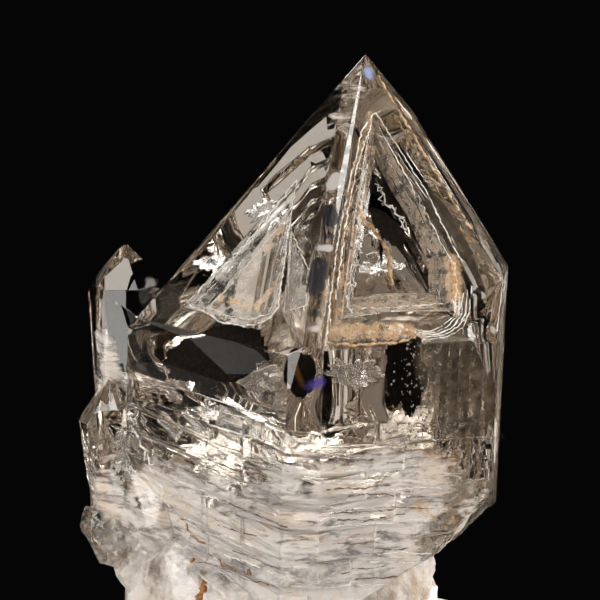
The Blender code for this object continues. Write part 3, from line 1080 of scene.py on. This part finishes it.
RUST_LINES = (
    Trace(Facet.FRONT_LEFT, ((0.9, 12.2), (0.8, 10.9), (0.9, 9.4)), 0.42, 0.0, 0.08),
    Trace(Facet.FRONT_LEFT, ((-1.9, 13.5), (-1.7, 13.4)), 0.28, 0.0, 0.0),
    Trace(Facet.FRONT_LEFT, ((5.6, 14.4), (5.8, 13.8)), 0.30, 0.0, 0.0),
    Trace(Facet.FRONT_LEFT, ((-4.6, 17.2), (-3.2, 15.6), (-0.6, 14.9), (2.2, 13.9), (5.3, 13.8), (8.2, 12.9)),
          0.12, 0.0, 0.12),
)


def fissures(seed: int, share: float = 1.0) -> tuple[Trace, ...]:
    """Fine lines along the plates of the milky part of the two front faces.

    Args:
        seed: of the random draws.
        share: how many lines there are, from 0 to 1.

    Returns:
        The lines.
    """
    chance = random.Random(seed)
    found = []
    for facet, low, high, most in ((Facet.FRONT_RIGHT, -7.0, 8.5, 17), (Facet.FRONT_LEFT, -6.0, 10.5, 15)):
        count = round(most * share)
        for number in range(count):
            uphill = 13.5 + 15.5 * (number + chance.random()) / count
            start = chance.uniform(low, high - 6.0)
            end = min(high, start + chance.uniform(4.0, 13.0))
            steps = max(2, round((end - start) / 1.6))
            fall = -0.07 * (end - start) + chance.uniform(-0.3, 0.3)
            points = tuple(
                (start + (end - start) * k / steps, uphill + fall * k / steps + chance.uniform(-0.16, 0.16))
                for k in range(steps + 1)
            )
            found.append(Trace(facet, points, chance.uniform(0.04, 0.095), 0.0, 0.03))
    return tuple(found)


@dataclass
class Traces:
    """Thin lines that follow the finished body: bright rims, painted highlights along ledges, brown fissures
    or clay veins.
    """

    name: str
    lines: Sequence[Trace]
    film: Film
    spacing_mm: float = 0.35
    reach_mm: float = 3.0
    swell: tuple[float, float] = (0.45, 1.35)

    def path(self, line: Trace, body: Piece, chance: random.Random) -> list[Vector]:
        """A line's points, evenly spaced and shaken, laid on the body's skin or at its depth below it."""
        plane = FACES[line.facet]
        spots = []
        for start, end in zip(line.points, line.points[1:]):
            steps = max(1, round(math.dist(start, end) / self.spacing_mm))
            spots += [[a + (b - a) * k / steps for a, b in zip(start, end)] for k in range(steps)]
        spots.append(line.points[-1])
        path = []
        for spot in spots:
            across, uphill = (along + chance.gauss(0, line.shake_mm) for along in spot)
            above = plane.at(across * MM, uphill * MM, self.reach_mm * MM)
            found, place = body.ray_cast(above, -plane.normal)[:2]
            if found:
                path.append(place - plane.normal * line.depth_mm * MM)
        return path

    def build(self, body: Piece) -> Piece:
        """Builds the piece over the finished body."""
        chance = random.Random(self.name)
        curve = bpy.data.curves.new(self.name, "CURVE")
        curve.dimensions = "3D"
        curve.bevel_depth = MM
        curve.bevel_resolution = 1
        curve.use_fill_caps = True
        for line in self.lines:
            path = self.path(line, body, chance)
            if len(path) < 2:
                continue
            spline = curve.splines.new("POLY")
            spline.points.add(len(path) - 1)
            for point, place in zip(spline.points, path):
                point.co = (*place, 1)
                point.radius = line.radius_mm * chance.uniform(*self.swell)
        piece = bpy.data.objects.new(self.name, curve)
        bpy.context.scene.collection.objects.link(piece)
        Bench.only(piece)
        bpy.ops.object.convert(target="MESH")
        piece = bpy.context.object
        Bench.mounted(piece, self.film.material())
        return piece


@dataclass
class ShutIn:
    """Small crystals shut in under the left front face: thin gaps round six-sided prisms."""

    name: str = "shut_in_crystals"
    gap_mm: float = 0.05
    prisms_mm: tuple[tuple[tuple[float, float], tuple[float, float], float, float], ...] = (
        ((0.2, 29.6), (5.9, 28.7), 2.3, 2.6),
        ((7.2, 31.0), (10.0, 28.5), 0.55, 0.9),
        ((-4.6, 28.8), (-1.6, 27.2), 0.9, 1.4),
        ((-8.4, 27.6), (-5.6, 26.0), 0.8, 1.2),
        ((6.2, 27.4), (9.0, 25.4), 0.8, 1.3),
    )

    def build(self) -> Piece:
        """Builds the piece."""
        plane = FACES[Facet.FRONT_LEFT]
        made = []
        for start, end, radius, depth in self.prisms_mm:
            tips = [plane.at(a * MM, b * MM, -depth * MM) for a, b in (start, end)]
            way = tips[1] - tips[0]
            bpy.ops.object.select_all(action="DESELECT")
            bpy.ops.mesh.primitive_cylinder_add(vertices=6, radius=radius * MM, depth=way.length)
            prism = bpy.context.object
            turn = way.to_track_quat("Z", "Y").to_matrix().to_4x4()
            prism.matrix_world = Matrix.Translation((tips[0] + tips[1]) / 2) @ turn
            Bench.settle(prism)
            wall = prism.modifiers.new("gap", "SOLIDIFY")
            wall.thickness = self.gap_mm * MM
            Bench.apply_all(prism)
            made.append(prism)
        piece = Bench.together(made, self.name)
        Bench.mounted(piece, CrackAir("shut_in_gap", 0.12, 0.03).material(), smooth=False)
        return piece


@dataclass(frozen=True)
class Veil:
    """One crinkled sheet inside the quartz: a healed crack, or a dark sheet of painted shade."""

    middle_mm: tuple[float, float, float]
    facing: tuple[float, float, float]
    size_mm: tuple[float, float]
    crinkle_mm: float = 0.6
    seed: int = 0
    ragged: float = 0.45


VEILS = (
    Veil((-0.5, -12.0, 25.5), (0.1, -0.5, 1.0), (10, 7), 0.8, 1),
    Veil((4.5, -11.0, 22.0), (0.2, -0.3, 1.0), (11, 8), 0.7, 2),
    Veil((5.0, -13.0, 19.0), (-0.1, -0.35, 1.0), (14, 8), 0.7, 3),
    Veil((-6.0, -9.0, 24.0), (-0.3, -0.5, 1.0), (12, 9), 0.8, 4),
    Veil((-8.0, -8.0, 20.0), (-0.5, -0.4, 1.0), (12, 8), 0.8, 5),
    Veil((-8.5, -11.0, 28.2), (-0.6, -0.5, 0.7), (6, 3.5), 0.9, 6),
    Veil((-3.0, -14.5, 32.3), (-0.2, -1.0, 0.5), (5.5, 4), 0.9, 7),
    Veil((5.0, -17.0, 33.3), (0.3, -0.8, 0.4), (6.5, 3.6), 0.9, 8),
    Veil((6.3, -9.5, 50.0), (0.9, -0.3, 0.1), (2.0, 10), 0.5, 10),
    Veil((8.6, -9.5, 46.5), (0.5, -0.4, 0.8), (5, 2.2), 0.5, 11),
    Veil((8.0, -10.0, 43.0), (0.3, -0.6, 0.8), (6, 3.4), 0.6, 12),
    Veil((-3.0, -6.0, 48.0), (-0.5, -0.5, 0.5), (5, 3.5), 0.7, 13),
    Veil((-8.5, -6.5, 42.5), (-0.5, -0.2, 0.8), (6, 3), 0.7, 14),
    Veil((0.5, -9.5, 44.0), (-0.9, -0.5, 0.2), (3, 8), 0.6, 15),
    Veil((0.0, 2.0, 24.0), (0.2, 0.4, 1.0), (20, 12), 1.0, 16),
    Veil((6.0, 6.0, 30.0), (0.3, 0.8, 0.6), (12, 9), 1.0, 17),
    Veil((-8.0, 5.0, 31.0), (-0.7, 0.5, 0.6), (11, 8), 1.0, 18),
    Veil((-18.3, 0.6, 30.0), (-0.6, -0.6, 0.5), (3.6, 5), 0.4, 19),
    Veil((-19.0, -1.6, 23.0), (-0.4, -0.7, 0.6), (4, 5), 0.4, 20),
)
# Dark sheets of painted shade, standing in for the dark reflections where the quartz looks black.
SHADE_SHEETS = (
    Veil((10.4, -16.4, 33.0), (0.42, -0.90, 0.05), (5.4, 10.5), 0.1, 31, 0.2),
    Veil((9.0, -9.0, 49.0), (0.40, -0.60, 0.60), (5.0, 12.0), 0.2, 32, 0.12),
    Veil((-8.0, -13.0, 34.2), (-0.57, -0.82, 0.0), (17.0, 6.5), 0.2, 33, 0.12),
    Veil((0.2, -20.0, 33.4), (0.0, -1.0, 0.0), (3.6, 5.6), 0.1, 34, 0.10),
)


@dataclass
class Veils:
    """Sheets inside the quartz: silver and grey healed cracks, or dark sheets of painted shade."""

    name: str
    veils: tuple[Veil, ...]
    finish: Union[CrackAir, Film]
    cells: int = 40
    thickness_mm: float = 0.05
    reach: float = 0.40
    lobes: tuple[int, ...] = (2, 3, 5, 8, 13)
    folds: tuple[tuple[float, float, int], ...] = ((2.6, 2.2, 1), (0.8, 0.6, 2))

    def sheet(self, veil: Veil, number: int) -> Piece:
        """Makes one sheet from a grid, broken to a ragged outline and crinkled."""
        bpy.ops.object.select_all(action="DESELECT")
        bpy.ops.mesh.primitive_grid_add(x_subdivisions=self.cells, y_subdivisions=self.cells, size=MM)
        sheet = bpy.context.object
        sheet.name = f"veil_{number}"
        chance = random.Random(100 + veil.seed)
        phases = [(k, chance.uniform(0, math.tau), chance.uniform(0.04, 0.16)) for k in self.lobes]

        def outside(face: Face) -> bool:
            x, y = face.center.x / MM, face.center.y / MM
            turn = math.atan2(y, x)
            frayed = sum(depth * veil.ragged * math.sin(k * turn + start) for k, start, depth in phases)
            return math.hypot(x, y) > self.reach + frayed

        Bench.pick(sheet, outside)
        bpy.ops.mesh.delete(type="FACE")
        bpy.ops.object.mode_set(mode="OBJECT")
        facing = Vector(veil.facing).to_track_quat("Z", "Y")
        sheet.matrix_world = (
            Matrix.Translation(Vector(veil.middle_mm) * MM)
            @ facing.to_matrix().to_4x4()
            @ Matrix.Rotation(chance.uniform(-0.3, 0.3), 4, "Z")
            @ Matrix.Diagonal((veil.size_mm[0], veil.size_mm[1], 1, 1))
        )
        Bench.settle(sheet)
        for size, strength, octaves in self.folds:
            Bench.ruffle(sheet, size, veil.crinkle_mm * strength, depth=octaves)
        wall = sheet.modifiers.new("wall", "SOLIDIFY")
        wall.thickness = self.thickness_mm * MM
        wall.offset = 0
        Bench.apply_all(sheet)
        return sheet

    def build(self) -> Piece:
        """Builds the piece."""
        sheets = [self.sheet(veil, number) for number, veil in enumerate(self.veils)]
        piece = Bench.together(sheets, self.name)
        Bench.mounted(piece, self.finish.material())
        return piece


@dataclass
class MilkyHeart:
    """The cloudy core above the foot, seen through the clear skin."""

    name: str = "milky_heart"
    lumps_mm: tuple[tuple[tuple[float, float, float], tuple[float, float, float]], ...] = (
        ((-4.0, -5.0, 10.0), (11.0, 9.0, 9.0)),
        ((5.0, -4.0, 9.0), (9.5, 9.5, 8.5)),
        ((0.0, 3.5, 10.0), (11.0, 7.5, 9.0)),
        ((-9.0, -2.0, 14.0), (6.5, 6.5, 8.0)),
        ((2.0, -9.0, 15.0), (8.5, 6.0, 5.0)),
    )
    voxel_mm: float = 0.45
    ruffles: tuple[tuple[float, float, int], ...] = ((4.0, 3.0, 2), (1.0, 0.9, 3))

    def build(self) -> Piece:
        """Builds the piece."""
        made = []
        for centre, radii in self.lumps_mm:
            bpy.ops.object.select_all(action="DESELECT")
            bpy.ops.mesh.primitive_ico_sphere_add(subdivisions=5, radius=MM)
            lump = bpy.context.object
            lump.matrix_world = Matrix.Translation(Vector(centre) * MM) @ Matrix.Diagonal((*radii, 1))
            Bench.settle(lump)
            made.append(lump)
        heart = Bench.together(made, self.name)
        grown = heart.modifiers.new("grown_together", "REMESH")
        grown.mode = "VOXEL"
        grown.voxel_size = self.voxel_mm * MM
        for size, height, octaves in self.ruffles:
            Bench.ruffle(heart, size, height, depth=octaves)
        Bench.apply_all(heart)
        Bench.mounted(heart, Milk().material())
        return heart


@dataclass
class Bubbles:
    """A cloud of tiny bubbles under the right front face."""

    name: str = "bubble_cloud"
    count: int = 190
    middle_mm: float = 5.9
    spread_mm: float = 1.3
    heights_mm: tuple[float, float] = (27.5, 38.5)
    depths_mm: tuple[float, float] = (0.25, 1.6)
    least_mm: float = 0.05
    growth_mm: float = 0.10
    stretch: float = 1.2

    def build(self) -> Piece:
        """Builds the piece."""
        chance = random.Random(31)
        skin = FACES[Facet.FRONT_RIGHT]
        made = []
        bpy.ops.object.select_all(action="DESELECT")
        bpy.ops.mesh.primitive_ico_sphere_add(subdivisions=2, radius=MM)
        first = bpy.context.object
        for number in range(self.count):
            across = chance.gauss(self.middle_mm, self.spread_mm)
            uphill = chance.uniform(*self.heights_mm)
            deep = chance.uniform(*self.depths_mm)
            size = self.least_mm + self.growth_mm * chance.random() ** 3
            place = Matrix.Translation(skin.at(across * MM, uphill * MM, -deep * MM))
            copy = bpy.data.objects.new(f"bubble_{number}", first.data.copy())
            bpy.context.scene.collection.objects.link(copy)
            copy.data.transform(place @ Matrix.Diagonal((size, size, size * self.stretch, 1)))
            made.append(copy)
        bpy.data.objects.remove(first)
        piece = Bench.together(made, self.name)
        Bench.mounted(piece, Bubble().material())
        return piece


# Studio


@dataclass(frozen=True)
class Lamp:
    """A soft area light that looks at the middle of the cluster."""

    name: str
    place_mm: tuple[float, float, float]
    size_mm: tuple[float, float]
    brightness: float
    colour: tuple[float, float, float] = (1.0, 0.97, 0.93)
    only_on_skin: bool = False
    aim_mm: tuple[float, float, float] = (0.0, 0.0, 30.0)

    def build(self) -> None:
        """Adds the light."""
        data = bpy.data.lights.new(self.name, "AREA")
        data.shape = "RECTANGLE"
        data.size, data.size_y = (side * MM for side in self.size_mm)
        data.energy = self.brightness * math.pi * data.size * data.size_y
        data.color = self.colour
        lamp = bpy.data.objects.new(self.name, data)
        bpy.context.scene.collection.objects.link(lamp)
        lamp.location = Vector(self.place_mm) * MM
        aim = Vector(self.aim_mm) * MM - lamp.location
        lamp.rotation_euler = aim.to_track_quat("-Z", "Y").to_euler()
        lamp.visible_camera = False
        lamp.visible_transmission = lamp.visible_glossy = not self.only_on_skin


@dataclass
class Studio:
    """Camera, lights, floor and the dark surroundings."""

    look_at_mm: tuple[float, float, float] = (0.0, 0.0, 38.5)
    elevation: float = 7.0
    distance_mm: float = 240.0
    frame_mm: float = 66.0
    sensor: float = 36.0
    floor_radius_mm: float = 25.0
    floor_depth_mm: float = 2.0
    floor_top_mm: float = -0.02
    surroundings: float = 0.0015
    lamps: Sequence[Lamp] = (
        Lamp("left_softbox", (-152, -88, 108), (70, 75), 8.5),
        Lamp("left_low_card", (-174, -45, 33), (90, 70), 0.7),
        Lamp("left_front_key", (-120, -140, 70), (100, 100), 5.6),
        Lamp("left_rim", (-150, 100, 45), (60, 60), 3.0, (1.0, 0.97, 0.94)),
        Lamp("right_softbox", (168, 15, 75), (90, 150), 10.0, (1.0, 0.96, 0.91)),
        Lamp("top_softbox", (-20, 80, 198), (120, 120), 7.5, (1.0, 0.98, 0.96)),
        Lamp("front_fill", (130, -185, 10), (140, 110), 6.5, only_on_skin=True),
        Lamp("left_card", (-140, -25, -53), (150, 90), 0.20, (1.0, 0.90, 0.80)),
        Lamp("back_card", (-39, 145, -50), (90, 80), 0.50, (1.0, 0.92, 0.84)),
        Lamp("right_card", (113, 65, -69), (50, 50), 0.34, (1.0, 0.93, 0.86)),
    )

    def camera(self) -> None:
        """Adds the photograph's view: a little above level, straight at the front edge."""
        data = bpy.data.cameras.new("camera")
        data.sensor_width = self.sensor
        data.lens = self.sensor * self.distance_mm / self.frame_mm
        data.clip_start = MM
        camera = bpy.data.objects.new("camera", data)
        bpy.context.scene.collection.objects.link(camera)
        e = math.radians(self.elevation)
        back = Vector((0, -math.cos(e), math.sin(e)))
        camera.location = (Vector(self.look_at_mm) + back * self.distance_mm) * MM
        camera.rotation_euler = (math.radians(90 - self.elevation), 0, 0)
        bpy.context.scene.camera = camera

    def floor(self) -> None:
        """Adds the floor disc."""
        bpy.ops.object.select_all(action="DESELECT")
        middle = self.floor_top_mm - self.floor_depth_mm / 2
        bpy.ops.mesh.primitive_cylinder_add(
            vertices=128, radius=self.floor_radius_mm * MM, depth=self.floor_depth_mm * MM,
            location=(0, 0, middle * MM),
        )
        disc = bpy.context.object
        disc.name = "floor"
        disc.data.materials.append(PaleFloor().material())

    def world(self) -> None:
        """Sets the dark surroundings and how the picture is developed."""
        scene = bpy.context.scene
        world = bpy.data.worlds.new("surroundings")
        scene.world = world
        world.use_nodes = True
        sky = world.node_tree.nodes["Background"]
        sky.inputs["Color"].default_value = (1, 1, 1, 1)
        sky.inputs["Strength"].default_value = self.surroundings
        scene.view_settings.view_transform = "Standard"
        scene.cycles.max_bounces = 16
        scene.cycles.transmission_bounces = 14
        scene.cycles.glossy_bounces = 6
        scene.cycles.diffuse_bounces = 2

    def build(self) -> None:
        """Builds the studio."""
        self.camera()
        self.floor()
        self.world()
        for lamp in self.lamps:
            lamp.build()


def main() -> None:
    """Builds each piece in order."""
    logging.basicConfig(level=logging.INFO, format="%(name)s %(message)s")
    Studio().build()
    body = QuartzBody().build()
    # The dark sheets are painted shade.
    for piece in (MilkyHeart(), Veils("crack_veils", VEILS, CrackAir()), ShutIn(), Bubbles(),
                  Veils("dark_cracks", SHADE_SHEETS, PAINTED_SHADE_FILM)):
        piece.build()
    Traces("rust_lines", RUST_LINES, RUST_FILM).build(body)
    # The rims are frosted; the fissure lines drawn with them are painted highlights along the ledges.
    Traces("bright_rims", RIMS + fissures(7, 0.6), RIM_FROST_AND_HIGHLIGHT_FILM).build(body)
    Traces("brown_fissures", fissures(12, 0.6), FISSURE_FILM).build(body)
    Traces("clay_veins", CLAY_LINES, CLAY_FILM).build(body)


if __name__ == "__main__":
    main()
